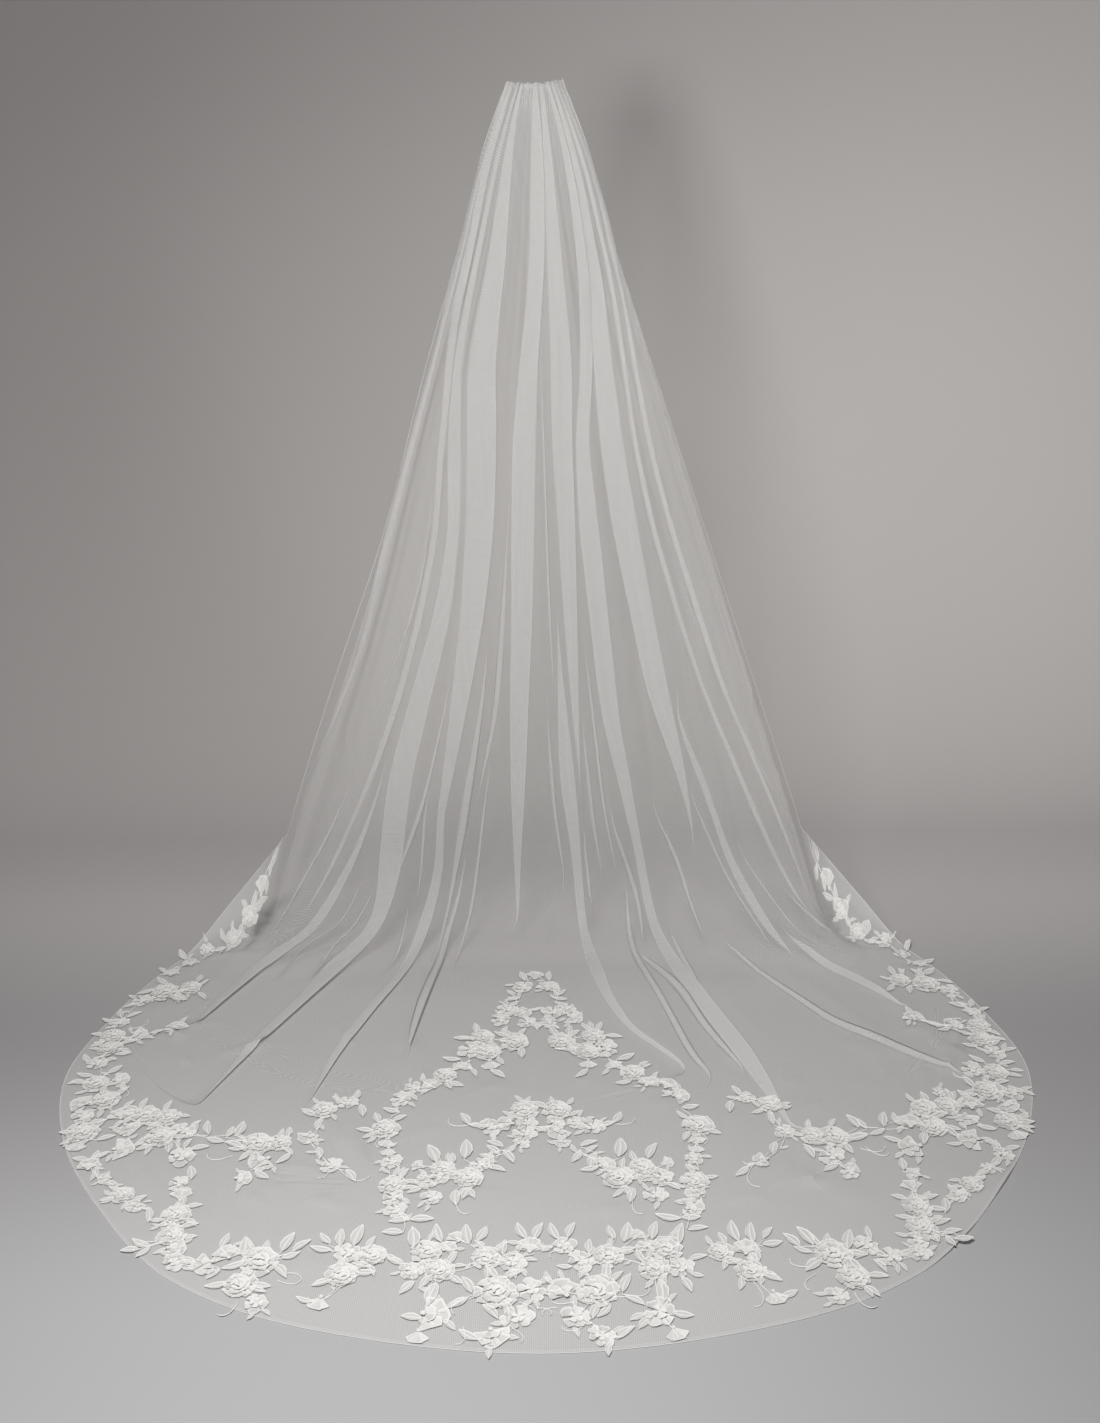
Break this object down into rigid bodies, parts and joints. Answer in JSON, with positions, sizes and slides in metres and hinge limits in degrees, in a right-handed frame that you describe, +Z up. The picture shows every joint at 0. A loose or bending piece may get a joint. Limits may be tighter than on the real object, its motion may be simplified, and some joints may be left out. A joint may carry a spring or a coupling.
{
  "type": "bridal veil",
  "caption": "Long bridal veil of sheer gathered net on a hidden comb, hung in pleats to a round train edged and inlaid with floral corded lace.",
  "frame": {"origin": "middle of the gathered top edge, where the comb holds it in the hair", "axes": "+Z up, out of the hair; +X across the gather; the train runs towards -Y, away from the wearer's back"},
  "size_m": [1.7192, 1.732, 1.702],
  "materials": {
    "tulle": "sheer soft net",
    "lace": "corded floral lace",
    "comb": "clear moulded comb"
  },
  "bodies": {
    "root": {"veil_tulle": "tulle", "veil_comb": "comb", "lace_apex": "lace", "lace_chevron": "lace", "lace_front": "lace", "lace_leg_R": "lace", "lace_leg_L": "lace", "lace_leg_foot_R": "lace", "lace_leg_foot_L": "lace", "lace_chevron_leg_R": "lace", "lace_chevron_leg_L": "lace", "lace_border_R": "lace", "lace_border_L": "lace", "lace_chain_R": "lace", "lace_chain_L": "lace", "lace_diagonal_R": "lace", "lace_diagonal_L": "lace", "lace_band_R": "lace", "lace_band_L": "lace", "lace_lobe_R": "lace", "lace_lobe_L": "lace", "lace_edge_R": "lace", "lace_edge_L": "lace", "lace_corner_R": "lace", "lace_corner_L": "lace"}
  },
  "joints": []
}
